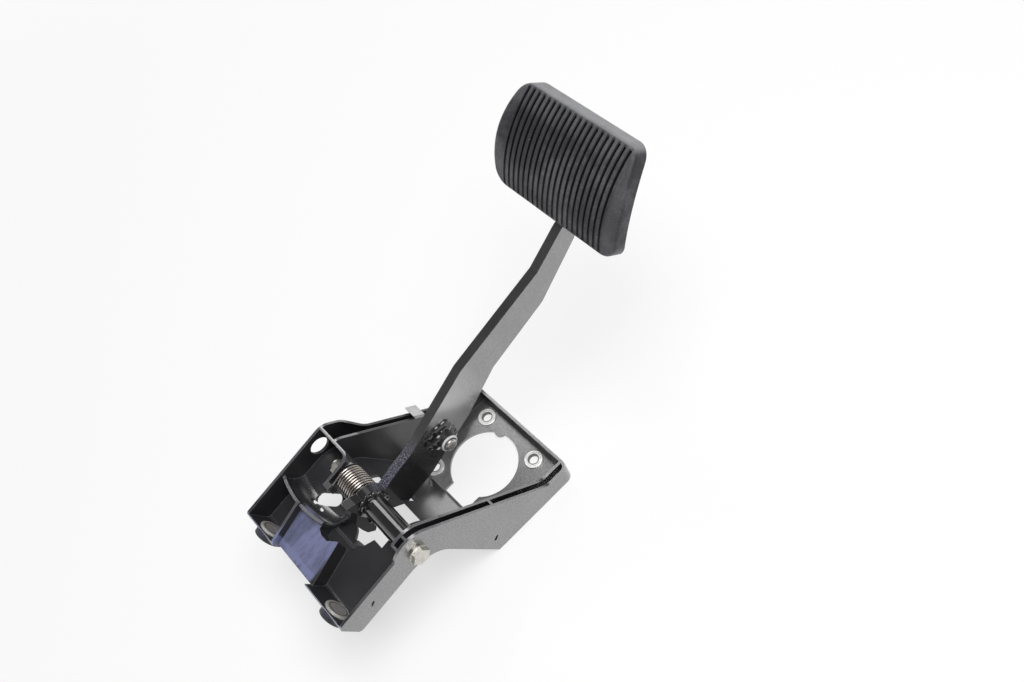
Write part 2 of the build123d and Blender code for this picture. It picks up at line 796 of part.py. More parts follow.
# Outline of the pad, in the plane square to the middle of its crown: convex short sides and round corners
facing = radians(pad_facing)
pad_plane = Plane((pad_centre, crown_y, crown_z), x_dir=(1, 0, 0), z_dir=(0, -cos(facing), sin(facing)))
pad_axis = Axis(pad_plane.origin, pad_plane.z_dir)
crown_plane = Plane.YZ.offset(pad_centre - pad_width)
with BuildSketch(pad_plane) as pad_outline:
    with BuildLine():
        left = pad_shift[0] - pad_width / 2
        right = pad_shift[0] + pad_width / 2
        low = pad_shift[1] - pad_chord / 2
        high = pad_shift[1] + pad_chord / 2
        left_end = ThreePointArc(
            (left + left_low_inset, low), (left, pad_shift[1]), (left + left_top_inset, high)
        )
        right_end = ThreePointArc(
            (right - right_low_inset, low), (right, pad_shift[1]), (right - right_top_inset, high)
        )
        Line(left_end @ 0, right_end @ 0)
        Line(left_end @ 1, right_end @ 1)
    make_face()
    fillet(pad_outline.vertices(), pad_corner)

# Pad plate: pressed steel, arched to the crown
with BuildPart() as pad_plate:
    with BuildSketch(pad_plane):
        add(pad_outline.sketch_local)
        offset(amount=-pad_skirt - insert_gap, mode=Mode.REPLACE)
    extrude(amount=2 * crown_radius)
    with BuildSketch(crown_plane):
        with Locations((crown_y, crown_z)):
            Circle(plate_under + plate_thickness)
            Circle(plate_under, mode=Mode.SUBTRACT)
    extrude(amount=2 * pad_width, mode=Mode.INTERSECT)
pad_plate.part = pad_plate.part.rotate(pad_axis, pad_turn)
pad_plate.part.label = "pad_plate"
export_step(pad_plate.part, "parts/pad_plate.step")

# Pocket in the back of the rubber that the plate sits in
with BuildPart() as pad_pocket:
    with BuildSketch(pad_plane):
        add(pad_outline.sketch_local)
        offset(amount=-pad_skirt, mode=Mode.REPLACE)
    extrude(amount=2 * crown_radius)
    with BuildSketch(crown_plane):
        with Locations((crown_y, crown_z)):
            Circle(plate_under + plate_thickness)
    extrude(amount=2 * pad_width, mode=Mode.INTERSECT)

# Rubber pad: crowned, with a skirt round the plate and grooves along the foot
with BuildPart() as rubber_pad:
    with BuildSketch(pad_plane):
        add(pad_outline.sketch_local)
    extrude(amount=2 * crown_radius)
    with BuildSketch(crown_plane):
        with Locations((crown_y, crown_z)):
            Circle(crown_radius)
            Circle(plate_under + skirt_recess, mode=Mode.SUBTRACT)
    extrude(amount=2 * pad_width, mode=Mode.INTERSECT)
    top_edges = rubber_pad.faces().sort_by_distance(pad_plane.offset(2 * crown_radius).origin)[0].edges()
    fillet(top_edges, pad_edge)
    with BuildSketch(*groove_planes):
        with BuildLine():
            bed = CenterArc(
                (crown_y, crown_z), crown_radius - groove_depth, groove_from, groove_to - groove_from
            )
            top = CenterArc((crown_y, crown_z), crown_radius + 1, groove_from, groove_to - groove_from)
            Line(bed @ 0, top @ 0)
            Line(bed @ 1, top @ 1)
        make_face()
    extrude(amount=groove_width, mode=Mode.SUBTRACT)
    add(pad_pocket.part, mode=Mode.SUBTRACT)
rubber_pad.part = rubber_pad.part.rotate(pad_axis, pad_turn)
rubber_pad.part.label = "rubber_pad"
export_step(rubber_pad.part, "parts/rubber_pad.step")
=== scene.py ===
import bpy
import math
from mathutils import Matrix, Vector


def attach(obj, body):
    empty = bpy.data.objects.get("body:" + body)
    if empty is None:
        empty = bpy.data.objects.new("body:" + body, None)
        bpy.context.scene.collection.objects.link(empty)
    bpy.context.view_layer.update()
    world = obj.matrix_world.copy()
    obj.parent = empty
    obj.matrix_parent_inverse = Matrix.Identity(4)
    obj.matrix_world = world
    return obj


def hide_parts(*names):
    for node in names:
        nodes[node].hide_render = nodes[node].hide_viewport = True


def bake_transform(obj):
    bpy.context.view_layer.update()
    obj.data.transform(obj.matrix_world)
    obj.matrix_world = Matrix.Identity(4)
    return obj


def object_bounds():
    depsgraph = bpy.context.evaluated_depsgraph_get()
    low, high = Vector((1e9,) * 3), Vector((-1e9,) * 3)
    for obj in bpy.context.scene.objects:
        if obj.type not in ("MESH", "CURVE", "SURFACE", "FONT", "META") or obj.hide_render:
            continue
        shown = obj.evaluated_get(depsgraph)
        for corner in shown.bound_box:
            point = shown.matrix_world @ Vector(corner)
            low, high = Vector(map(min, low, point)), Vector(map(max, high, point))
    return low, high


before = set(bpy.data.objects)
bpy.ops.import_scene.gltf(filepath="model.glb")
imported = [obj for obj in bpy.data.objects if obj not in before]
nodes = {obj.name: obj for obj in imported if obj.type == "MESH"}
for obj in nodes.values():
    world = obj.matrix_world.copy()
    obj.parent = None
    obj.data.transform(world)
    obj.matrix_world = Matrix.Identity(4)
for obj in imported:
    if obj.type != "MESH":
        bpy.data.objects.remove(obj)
cad_box = [list(corner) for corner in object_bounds()]
scene = bpy.context.scene
scene.view_settings.view_transform = "Standard"


# Camera
# It looks down on the bracket from beyond the bolt's side, rolled so that the feet lie at the
# lower left of the frame and the arm climbs to the pad at the upper right.
across = Vector((0.64051, 0.71349, -0.28404))
downwards = Vector((0.53057, -0.67854, -0.50802))
onwards = Vector((-0.55520, 0.17469, -0.81316))
stand = Vector((0.48056, -0.07131, 0.81824))
image_width, focal_pixels, film_width = 1024, 1040, 36.0
lens = bpy.data.cameras.new("camera")
lens.sensor_width = film_width
lens.lens = focal_pixels / image_width * film_width
lens.clip_start = 0.01
lens.clip_end = 100.0
camera = bpy.data.objects.new("camera", lens)
turn = Matrix((across, -downwards, -onwards)).transposed()
camera.matrix_world = Matrix.Translation(stand) @ turn.to_4x4()
scene.collection.objects.link(camera)
scene.camera = camera


# Table
# A wide white sheet under the flange. It reads as white to the eye and in the gloss of the paint,
# and a part of its own diffuse shading stays near the pedal, so that the soft shadow shows.
class Wire:
    """A socket of a shader tree. Arithmetic on it adds Math nodes, and add() any other node."""

    def __init__(self, tree, socket=None):
        self.tree = tree
        self.socket = socket

    def add(self, kind, settings=None, sockets=None, output=0):
        node = self.tree.nodes.new(kind)
        for key, value in (settings or {}).items():
            if key == "stops":
                ramp = node.color_ramp
                while len(ramp.elements) < len(value):
                    ramp.elements.new(1.0)
                for stop, (place, shade) in zip(ramp.elements, value):
                    stop.position = place
                    stop.color = (*shade, 1) if isinstance(shade, tuple) else (shade, shade, shade, 1)
            else:
                setattr(node, key, value)
        for key, value in (sockets or {}).items():
            if isinstance(value, Wire):
                self.tree.links.new(value.socket, node.inputs[key])
            else:
                node.inputs[key].default_value = value
        return Wire(self.tree, node.outputs[output])

    def math(self, operation, first, second=0.0):
        return self.add("ShaderNodeMath", {"operation": operation}, {0: first, 1: second})

    def __add__(self, other):
        return self.math("ADD", self, other)

    def __sub__(self, other):
        return self.math("SUBTRACT", self, other)

    def __rsub__(self, other):
        return self.math("SUBTRACT", other, self)

    def __mul__(self, other):
        return self.math("MULTIPLY", self, other)

    __radd__ = __add__
    __rmul__ = __mul__

    def ramp(self, *stops):
        return self.add("ShaderNodeValToRGB", {"stops": stops}, {0: self})

    def tint(self, first, second):
        """The first colour where this is 0, and the second where it is 1."""
        return self.add("ShaderNodeMix", {"data_type": "RGBA"}, {0: self, 6: first, 7: second}, 2)


def new_finish(name):
    material = bpy.data.materials.new(name)
    material.use_nodes = True
    return material, Wire(material.node_tree), material.node_tree.nodes["Principled BSDF"]


def feed(shader, **sockets):
    for key, value in sockets.items():
        socket = shader.inputs[key.replace("_", " ")]
        if isinstance(value, Wire):
            value.tree.links.new(value.socket, socket)
        else:
            socket.default_value = value


def place_of(wire):
    return wire.add("ShaderNodeTexCoord", output="Object")


def between(value, start, end, first, last):
    """The first number before start and the last past end, with a straight rise between."""
    return value.add("ShaderNodeMapRange", None, {0: value, 1: start, 2: end, 3: first, 4: last})


white = (1, 1, 1, 1)
table_grey = (0.92, 0.92, 0.92, 1)
table_half, table_top = 20.0, cad_box[0][2]
whitening_from, whitening_to = 0.35, 1.6
white_near, white_far, white_in_gloss = 0.60, 1.0, 0.75
table_mesh = bpy.data.meshes.new("table")
table_mesh.from_pydata(
    [(x * table_half, y * table_half, table_top) for x, y in ((-1, -1), (1, -1), (1, 1), (-1, 1))],
    [],
    [(0, 1, 2, 3)],
)
table = bpy.data.objects.new("table", table_mesh)
scene.collection.objects.link(table)
table_white, wire, shader = new_finish("table_white")
feed(shader, Base_Color=table_grey, Roughness=0.7)
seen = wire.add("ShaderNodeLightPath", output="Is Camera Ray")
mirrored = wire.add("ShaderNodeLightPath", output="Is Glossy Ray")
away = wire.add("ShaderNodeVectorMath", {"operation": "LENGTH"}, {0: place_of(wire)}, "Value")
whitened = between(away, whitening_from, whitening_to, white_near, white_far)
shaded = Wire(wire.tree, shader.outputs[0])
glow = wire.add("ShaderNodeEmission", None, {"Color": white, "Strength": 1.0})
glowing = seen * whitened + mirrored * white_in_gloss
lit = wire.add("ShaderNodeMixShader", None, {0: glowing, 1: shaded, 2: glow})
wire.tree.links.new(lit.socket, wire.tree.nodes["Material Output"].inputs["Surface"])
table_mesh.materials.append(table_white)


# Studio light
# A white room that darkens towards its ceiling, and two soft boxes: a wide one high over the whole
# table, and a small one beyond the flange that shines in its floor.
room = bpy.data.worlds.new("room")
scene.world = room
room.use_nodes = True
wire = Wire(room.node_tree)
seen = wire.add("ShaderNodeLightPath", output="Is Camera Ray")
outwards = wire.add("ShaderNodeTexCoord", output="Generated")
height = wire.add("ShaderNodeSeparateXYZ", None, {0: outwards}, "Z")
walls = height.ramp((0.0, 0.95), (0.2, 0.75), (0.5, 0.16), (1.0, 0.10))
backdrop = room.node_tree.nodes["Background"]
backdrop.inputs["Color"].default_value = white
wire.tree.links.new((seen + (1 - seen) * walls).socket, backdrop.inputs["Strength"])

aim = Vector((0, -0.02, 0.08))
for name, place, size, power in (
    ("soft_box_top", (0.60, 0.30, 2.30), 1.7, 54.0),
    ("soft_box_flange", (-0.90, 0.52, 1.32), 0.6, 3.0),
):
    soft_box = bpy.data.lights.new(name, "AREA")
    soft_box.shape = "SQUARE"
    soft_box.size = size
    soft_box.energy = power
    lamp = bpy.data.objects.new(name, soft_box)
    lamp.location = place
    lamp.rotation_euler = (aim - Vector(place)).to_track_quat("-Z", "Y").to_euler()
    scene.collection.objects.link(lamp)


# Bracket
# One moulding in black glass-filled plastic, straight from the tool: a fine grain, flow marks and
# faint scuffs on the flange, a painted bluish reflection on the web between the feet and on the
# foot ends, and pale worn edges with a painted highlight on the wall tops.
def edges(wire, width, sharp):
    """Rounded normal near the edges, and a mask that is 1 on them."""
    round_normal = wire.add("ShaderNodeBevel", {"samples": 6}, {"Radius": width})
    flat_normal = wire.add("ShaderNodeNewGeometry", output="Normal")
    facing = wire.add(
        "ShaderNodeVectorMath", {"operation": "DOT_PRODUCT"}, {0: round_normal, 1: flat_normal}, "Value"
    )
    return round_normal, (1 - facing).ramp((0.0, 0.0), (sharp, 1.0))


def noise(wire, place, scale, detail=4.0, rough=0.55, stretch=None):
    if stretch:
        place = wire.add("ShaderNodeMapping", None, {"Vector": place, "Scale": stretch})
    sockets = {"Vector": place, "Scale": scale, "Detail": detail, "Roughness": rough}
    return wire.add("ShaderNodeTexNoise", None, sockets)


def bump(wire, height, normal, distance, strength):
    sockets = {"Height": height, "Normal": normal, "Distance": distance, "Strength": strength}
    return wire.add("ShaderNodeBump", None, sockets)


def axes_of(wire, vector):
    """The parts of a place or a normal: sideways, along the pedal and up."""
    return [wire.add("ShaderNodeSeparateXYZ", None, {0: vector}, axis) for axis in "XYZ"]


def facing_of(wire):
    return axes_of(wire, wire.add("ShaderNodeTexCoord", output="Normal"))


def span(value, start, end):
    """0 before start and 1 past end, with a straight rise between."""
    return between(value, start, end, 0.0, 1.0)


def dress(piece, material):
    piece.data.materials.clear()
    piece.data.materials.append(material)


flow_dark, flow_pale = (0.012, 0.012, 0.014), (0.021, 0.021, 0.024)
dust_grey, wear_and_sheen_grey = (0.10, 0.10, 0.105, 1), (0.17, 0.17, 0.185, 1)
lilac_reflection_blue = (0.165, 0.178, 0.315, 1)
floor_level, rim_level, web_level = (0.012, 0.004), (0.098, 0.100), (0.086, 0.089)
right_skin, left_skin = (0.0670, 0.0685), (-0.040, -0.046)
web_left, web_right, wing_right = (-0.037, -0.034), (0.017, 0.014), (-0.004, -0.012)
feet_from, pocket_from = (-0.150, -0.155), (-0.060, -0.072)
wing_from, wing_to = (-0.112, -0.118), (-0.1415, -0.1405)
web_from, web_lip = (-0.132, -0.136), (-0.166, -0.168)

black_moulding, wire, shader = new_finish("black_moulding")
place = place_of(wire)
rounded, edge = edges(wire, 0.0007, 0.12)
grain = noise(wire, place, 1400, 3.0)
flow = noise(wire, place, 26, 5.0, 0.6)
scuff = noise(wire, place, 90, 6.0, 0.7, (1.0, 7.0, 1.0)).ramp((0.56, 0.0), (0.74, 1.0))
streak = noise(wire, place, 38, 6.0, 0.65, (2.2, 0.7, 1.0)).ramp((0.34, 0.35), (0.62, 1.0))
mottle = noise(wire, place, 520, 5.0, 0.7).ramp((0.36, 0.0), (0.64, 1.0))
sideways, along, up = axes_of(wire, place)
faces_feet, faces_up = facing_of(wire)[1:]
flange = span(up, *floor_level)
outside = span(sideways, *right_skin)
lining = span(sideways, *left_skin)
foot_ends = span(faces_feet, -0.3, -0.6) * span(along, *feet_from)
rims = span(faces_up, 0.4, 0.6) * span(up, *rim_level)
wing_bay = span(sideways, *wing_right) * span(along, *wing_from) * span(along, *wing_to)
wing = wing_bay * span(faces_up, 0.2, 0.4)
pockets = span(along, *pocket_from) * (1 - outside) * (1 - rims) * (1 - foot_ends * 0.5) * (1 - wing * 0.8)
web_bay = span(sideways, *web_left) * span(sideways, *web_right) * span(up, *web_level)
web_top = span(faces_up, 0.5, 0.8) + span(along, *web_lip)
web = web_bay * span(along, *web_from) * web_top * (1 - rims)
bare = flow.ramp((0.35, flow_dark), (0.7, flow_pale))
dusty = (scuff * flange * 0.6).tint(bare, dust_grey)
# The bluish tint on the web and the foot ends is a painted reflection, not a bloom in the plastic.
lilac_reflection = (web * streak + foot_ends * 0.8).tint(dusty, lilac_reflection_blue)
# Pale edges are wear; the lighter wall tops are a painted highlight.
wear_and_sheen = (edge * (flow * 0.6 + 0.4) + rims * 0.3).tint(lilac_reflection, wear_and_sheen_grey)
gloss = (1 - pockets * 0.88) * (1 - lining * (1 - rims) * (1 - wing * 0.9) * 0.8)
feed(
    shader,
    Base_Color=wear_and_sheen,
    Roughness=flow * 0.18 + grain * 0.10 + scuff * 0.08 + pockets * 0.2 + 0.22,
    Coat_Weight=gloss * (flow * 0.3 + mottle * 0.3 + 0.62),
    Coat_IOR=2.8,
    Coat_Roughness=0.22,
    Normal=bump(wire, grain * 0.7 + scuff * 0.3, rounded, 0.00012, 0.5),
)
dress(nodes["bracket"], black_moulding)


# Stud sleeves
# Four flanged bushes of drawn steel, pressed into the flange to take the clamp load through the
# plastic. Bright zinc, with painted shade in the bore and in the step round it.
def steel(name, light, dark, roughness, metal=1.0):
    material, wire, shader = new_finish(name)
    place = place_of(wire)
    rounded, edge = edges(wire, 0.0003, 0.15)
    cloud = noise(wire, place, 180, 5.0, 0.6)
    fine = noise(wire, place, 2600, 2.0)
    stain = noise(wire, place, 420, 4.0, 0.65).ramp((0.5, 0.0), (0.7, 1.0))
    stained = tuple(0.45 * part for part in dark) + (1,)
    polished = tuple(min(1.0, 1.25 * part) for part in light) + (1,)
    colour = cloud.ramp((0.3, dark), (0.7, light))
    colour = (stain * 0.35).tint(colour, stained)
    colour = (edge * 0.5).tint(colour, polished)
    feed(
        shader,
        Base_Color=colour,
        Metallic=metal,
        Roughness=cloud * 0.2 + stain * 0.15 + (roughness - 0.1),
        Normal=bump(wire, fine, rounded, 0.00006, 0.5),
    )
    return material


def reopened(material):
    """A finished material's tree, shader, places and colour, for one more mark over that colour."""
    wire = Wire(material.node_tree)
    shader = wire.tree.nodes["Principled BSDF"]
    colour = Wire(wire.tree, shader.inputs["Base Color"].links[0].from_socket)
    return wire, shader, place_of(wire), colour


def radius_of(first, second):
    """Distance from an axis, from two offsets square to it."""
    return first.math("SQRT", first * first + second * second)


stud_at = 0.033
bore_edge, step_from, step_to = (0.0058, 0.0050), (0.0063, 0.0066), (0.0070, 0.0067)
bore_shade = (0.05, 0.05, 0.05, 1)
sleeve_steel = steel("sleeve_steel", (0.98, 0.975, 0.96), (0.82, 0.815, 0.80), roughness=0.34)
wire, shader, place, zinc = reopened(sleeve_steel)
sideways, along = axes_of(wire, place)[:2]
from_stud = radius_of(wire.math("ABSOLUTE", sideways) - stud_at, wire.math("ABSOLUTE", along) - stud_at)
bore = span(from_stud, *bore_edge)
step = span(from_stud, *step_from) * span(from_stud, *step_to)
# The darker bore and step are painted shade.
feed(shader, Base_Color=(bore * 0.9 + step * 0.5).tint(zinc, bore_shade))
for side in ("left", "right"):
    for end in ("front", "rear"):
        dress(nodes[f"stud_sleeve_{end}_{side}"], sleeve_steel)


# Foot inserts
# Blind threaded inserts of steel, moulded into the end wall of each foot. Grey phosphate, with
# painted shade for a turned groove and for a dish in the broad head.
foot_lean = math.radians(20.0)
foot_axis = (0, -math.cos(foot_lean), -math.sin(foot_lean))
turned_from, turned_to, dish_edge = (0.0072, 0.0078), (0.0090, 0.0086), (0.0080, 0.0076)
groove_shade = (0.03, 0.03, 0.03, 1)
insert_steel = steel("insert_steel", (0.50, 0.485, 0.46), (0.36, 0.35, 0.335), roughness=0.45, metal=0.4)
wire, shader, place, phosphate = reopened(insert_steel)
from_axis = []
for name in ("foot_insert_left", "foot_insert_right"):
    corners = [corner.co for corner in nodes[name].data.vertices]
    middle = sum(corners, Vector()) / len(corners)
    offset = wire.add("ShaderNodeVectorMath", {"operation": "SUBTRACT"}, {0: place, 1: middle})
    square = wire.add("ShaderNodeVectorMath", {"operation": "CROSS_PRODUCT"}, {0: offset, 1: foot_axis})
    from_axis.append(wire.add("ShaderNodeVectorMath", {"operation": "LENGTH"}, {0: square}, "Value"))
    dress(nodes[name], insert_steel)
from_foot = wire.math("MINIMUM", *from_axis)
turned = span(from_foot, *turned_from) * span(from_foot, *turned_to)
dish = span(from_foot, *dish_edge)
# The dark groove and the dish are painted shade.
feed(shader, Base_Color=(turned * 0.75 + dish * 0.25).tint(phosphate, groove_shade))


# Pivot bolt, nut and spacer
# A flanged hexagon bolt through both walls, its nut in the left box and the spacer between the walls,
# all of steel, in zinc with a warm passivate.
plated_steel = steel("plated_steel", (0.72, 0.69, 0.64), (0.52, 0.50, 0.46), roughness=0.36)
for name in ("pivot_bolt", "pivot_nut", "pivot_spacer"):
    dress(nodes[name], plated_steel)


# Pivot bushes and pin bush
# Turned black bearing plastic, slightly waxy, pushed into the tube and over the pushrod pin, with
# paler edges and a pale grey ring on the end of the pin bush.
pin_y, pin_z = -0.016, 0.100
bush_bore, bush_rim, bush_face = (0.0062, 0.0066), (0.0090, 0.0088), (0.0202, 0.0208)
bush_dark, bush_pale, pale_end_grey = (0.010, 0.010, 0.011), (0.022, 0.022, 0.024), (0.62, 0.615, 0.62, 1)
bush_plastic, wire, shader = new_finish("bush_plastic")
place = place_of(wire)
rounded, edge = edges(wire, 0.0004, 0.15)
grain = noise(wire, place, 1800, 3.0)
cloud = noise(wire, place, 150, 4.0)
sideways, along, up = axes_of(wire, place)
from_pin = radius_of(along - pin_y, up - pin_z)
bush_end = span(from_pin, *bush_bore) * span(from_pin, *bush_rim) * span(sideways, *bush_face)
bare = cloud.ramp((0.35, bush_dark), (0.7, bush_pale))
feed(
    shader,
    # Paler edges, and a pale grey ring on the end of the pin bush.
    Base_Color=wire.math("MAXIMUM", edge * 0.3, bush_end * 0.9).tint(bare, pale_end_grey),
    Roughness=cloud * 0.15 + 0.28,
    IOR=1.6,
    Normal=bump(wire, grain, rounded, 0.00008, 0.4),
)
for name in ("pivot_bush_left", "pivot_bush_right", "pin_bush"):
    dress(nodes[name], bush_plastic)


# Pedal arm and pivot tube
# The arm is one flat steel plate, cut and bent in its own plane, with the tube welded through its
# hub. Black dip paint: glossy, a slight orange peel, thin on the edges and dusty round the hub, with
# painted lilac specks of reflection on the edge near the hub, a painted reflection on the side face
# round the pin and a painted highlight along the hub's top edge.
paint_dark, paint_pale = (0.007, 0.007, 0.008), (0.013, 0.013, 0.014)
thin_grey, chip_steel, hub_highlight_grey = (0.10, 0.10, 0.108, 1), (0.30, 0.29, 0.28, 1), (0.55, 0.52, 0.49, 1)
lilac_reflection_specks, side_reflection_grey = (0.30, 0.295, 0.41, 1), (0.33, 0.324, 0.33, 1)
hub_from = (-0.050, -0.066)
speck_from, speck_to = (-0.030, -0.050), (-0.088, -0.078)
side_reflection_from, side_reflection_to = (-0.024, -0.014), (0.040, 0.0)
hub_left, hub_crown = (0.004, 0.002), (0.1035, 0.106)


def paint(name, with_hub=False, coat=3.1, polish=0.15):
    """Black dip paint. With a hub, the gloss fades and dust gathers towards it."""
    material, wire, shader = new_finish(name)
    place = place_of(wire)
    rounded, edge = edges(wire, 0.0008, 0.12)
    peel = noise(wire, place, 420, 2.0)
    cloud = noise(wire, place, 30, 5.0, 0.6)
    chip = noise(wire, place, 260, 6.0, 0.7).ramp((0.60, 0.0), (0.66, 1.0))
    mottle = noise(wire, place, 480, 5.0, 0.7).ramp((0.36, 0.0), (0.64, 1.0))
    colour = cloud.ramp((0.35, paint_dark), (0.7, paint_pale))
    gloss = cloud * 0.2 + mottle * 0.16 + 0.77
    rough = cloud * 0.14 + 0.16
    if with_hub:
        sideways, along, up = axes_of(wire, place)
        faces_side = facing_of(wire)[0]
        hub = span(along, *hub_from)
        rim = span(faces_side, 0.6, 0.3) * span(faces_side, -0.6, -0.3)
        speck = noise(wire, place, 1000, 5.0, 0.7).ramp((0.47, 0.0), (0.62, 1.0))
        # The lilac specks on the edge near the hub are a painted reflection.
        edge_reflection_band = speck * rim * span(along, *speck_from) * span(along, *speck_to)
        # The grey on the side face round the pushrod pin is a painted reflection, not wear from handling.
        side_reflection = span(along, *side_reflection_from) * span(along, *side_reflection_to) * span(faces_side, 0.6, 0.8)
        colour = (edge_reflection_band * 0.8).tint(colour, lilac_reflection_specks)
        colour = (side_reflection * 0.85).tint(colour, side_reflection_grey)
        gloss = gloss * (1 - hub * 0.92)
        rough = rough + edge_reflection_band * 0.2 + hub * 0.6
    colour = (edge * (cloud * 0.5 + 0.2)).tint(colour, thin_grey)
    colour = (edge * chip * 0.5).tint(colour, chip_steel)
    if with_hub:
        # The pale line along the hub's top edge is a painted highlight.
        hub_rim_highlight = span(sideways, *hub_left) * span(up, *hub_crown) * hub
        colour = (edge * hub_rim_highlight * 0.9).tint(colour, hub_highlight_grey)
    feed(
        shader,
        Base_Color=colour,
        Roughness=rough,
        IOR=1.45,
        Specular_IOR_Level=0.35,
        Coat_Weight=gloss,
        Coat_IOR=coat,
        Coat_Roughness=polish,
        Normal=bump(wire, peel, rounded, 0.00025, 0.3),
    )
    return material


black_paint = paint("black_paint", with_hub=True)
dress(nodes["pedal_arm"], black_paint)
tube_paint = paint("tube_paint", coat=2.0, polish=0.06)
dress(nodes["pivot_tube"], tube_paint)


# Welds
# Hand-laid beads under the black paint: round the tube on both sides of the arm, over the pushrod
# pin's collar and along the arm's end under the pad plate. Drops strewn on a path melt into one bead.
def node_tree(name, **inputs):
    tree = bpy.data.node_groups.new(name, "GeometryNodeTree")
    tree.interface.new_socket("Geometry", in_out="INPUT", socket_type="NodeSocketGeometry")
    for key, (kind, value) in inputs.items():
        socket = tree.interface.new_socket(key, in_out="INPUT", socket_type=kind)
        if value is not None:
            socket.default_value = value
    tree.interface.new_socket("Geometry", in_out="OUTPUT", socket_type="NodeSocketGeometry")
    return tree, tree.nodes.new("NodeGroupInput"), tree.nodes.new("NodeGroupOutput")


def joined(tree, kind, sockets=None, settings=None):
    node = tree.nodes.new(kind)
    for key, value in (settings or {}).items():
        setattr(node, key, value)
    for key, value in (sockets or {}).items():
        if isinstance(value, bpy.types.NodeSocket):
            tree.links.new(value, node.inputs[key])
        else:
            node.inputs[key].default_value = value
    return node


def grown(name, points, tree, closed=False, **values):
    """A plain mesh that a tree grows along a path of points."""
    guide = bpy.data.meshes.new(name)
    count = len(points)
    guide.from_pydata(points, [(i, (i + 1) % count) for i in range(count if closed else count - 1)], [])
    piece = bpy.data.objects.new(name, guide)
    scene.collection.objects.link(piece)
    modifier = piece.modifiers.new("grow", "NODES")
    modifier.node_group = tree
    for item in tree.interface.items_tree:
        if item.in_out == "INPUT" and item.name in values:
            modifier[item.identifier] = values[item.name]
    view = bpy.context.evaluated_depsgraph_get()
    mesh = bpy.data.meshes.new_from_object(piece.evaluated_get(view))
    piece.modifiers.remove(modifier)
    piece.data = mesh
    return piece


def ring(x, y, z, radius, start=0.0, sweep=360.0, count=48):
    turns = [math.radians(start + sweep * i / count) for i in range(count + (sweep < 360))]
    return [(x, y + radius * math.cos(t), z + radius * math.sin(t)) for t in turns]


smallest_drop, largest_drop, drop_fineness = (0.42, 0.7, 0.7), (0.7, 1.2, 1.2), 3
melt_rounds, melt_depth, melt_level = 40, 0.002, 0.1
bead_tree, given, result = node_tree(
    "weld_bead",
    Radius=("NodeSocketFloat", 0.002),
    Step=("NodeSocketFloat", 0.0012),
    Jitter=("NodeSocketFloat", 0.0004),
    Voxel=("NodeSocketFloat", 0.0004),
    Seed=("NodeSocketInt", 1),
    Material=("NodeSocketMaterial", None),
)
path = joined(bead_tree, "GeometryNodeMeshToCurve", {0: given.outputs["Geometry"]})
spaced = joined(
    bead_tree,
    "GeometryNodeResampleCurve",
    {"Curve": path.outputs[0], "Length": given.outputs["Step"]},
    {"mode": "LENGTH"},
)
drop = joined(
    bead_tree,
    "GeometryNodeMeshIcoSphere",
    {"Radius": given.outputs["Radius"], "Subdivisions": drop_fineness},
)
sizes = joined(
    bead_tree,
    "FunctionNodeRandomValue",
    {0: smallest_drop, 1: largest_drop, "Seed": given.outputs["Seed"]},
    {"data_type": "FLOAT_VECTOR"},
)
aside = joined(
    bead_tree,
    "FunctionNodeRandomValue",
    {0: (-1.0, -1.0, -1.0), 1: (1.0, 1.0, 1.0), "Seed": given.outputs["Seed"]},
    {"data_type": "FLOAT_VECTOR"},
)
off = joined(
    bead_tree,
    "ShaderNodeVectorMath",
    {0: aside.outputs[0], "Scale": given.outputs["Jitter"]},
    {"operation": "SCALE"},
)
strewn = joined(bead_tree, "GeometryNodeSetPosition", {0: spaced.outputs[0], "Offset": off.outputs[0]})
drops = joined(
    bead_tree,
    "GeometryNodeInstanceOnPoints",
    {"Points": strewn.outputs[0], "Instance": drop.outputs[0], "Scale": sizes.outputs[0]},
)
real = joined(bead_tree, "GeometryNodeRealizeInstances", {0: drops.outputs[0]})
mass = joined(
    bead_tree,
    "GeometryNodeMeshToVolume",
    {"Mesh": real.outputs[0], "Voxel Size": given.outputs["Voxel"], "Interior Band Width": melt_depth},
    {"resolution_mode": "VOXEL_SIZE"},
)
fused = joined(bead_tree, "GeometryNodeVolumeToMesh", {"Volume": mass.outputs[0], "Threshold": melt_level})
where = joined(bead_tree, "GeometryNodeInputPosition")
calm = joined(
    bead_tree,
    "GeometryNodeBlurAttribute",
    {0: where.outputs[0], "Iterations": melt_rounds},
    {"data_type": "FLOAT_VECTOR"},
)
melted = joined(bead_tree, "GeometryNodeSetPosition", {0: fused.outputs[0], "Position": calm.outputs[0]})
smooth = joined(bead_tree, "GeometryNodeSetShadeSmooth", {0: melted.outputs[0]})
painted = joined(
    bead_tree,
    "GeometryNodeSetMaterial",
    {0: smooth.outputs[0], "Material": given.outputs["Material"]},
)
bead_tree.links.new(painted.outputs[0], result.inputs[0])

pivot_y, pivot_z = -0.094, 0.097
arm_left, arm_right = 0.0005, 0.0095
crown_y, crown_z, plate_under = 0.250, 0.183, 0.086
under_plate = (crown_y, crown_z, plate_under - 0.0012, 133.0, 35.0)
step_share, jitter_share = 1.45, 0.30
weld_paint = paint("weld_paint", coat=1.6, polish=0.06)
beads = (
    ("hub_weld_right", ring(arm_right + 0.0008, pivot_y, pivot_z, 0.0110), True, 0.0043, 3),
    ("hub_weld_left", ring(arm_left - 0.0002, pivot_y, pivot_z, 0.0100), True, 0.0022, 5),
    ("pin_weld", ring(arm_right + 0.0022, pin_y, pin_z, 0.0084), True, 0.0062, 7),
    ("pin_weld_run", ring(arm_right + 0.0008, pin_y, pin_z, 0.0128, 60.0, 110.0, 24), False, 0.0054, 11),
    ("pad_weld_right", ring(arm_right + 0.0006, *under_plate), False, 0.0028, 13),
    ("pad_weld_left", ring(arm_left - 0.0006, *under_plate), False, 0.0028, 17),
)
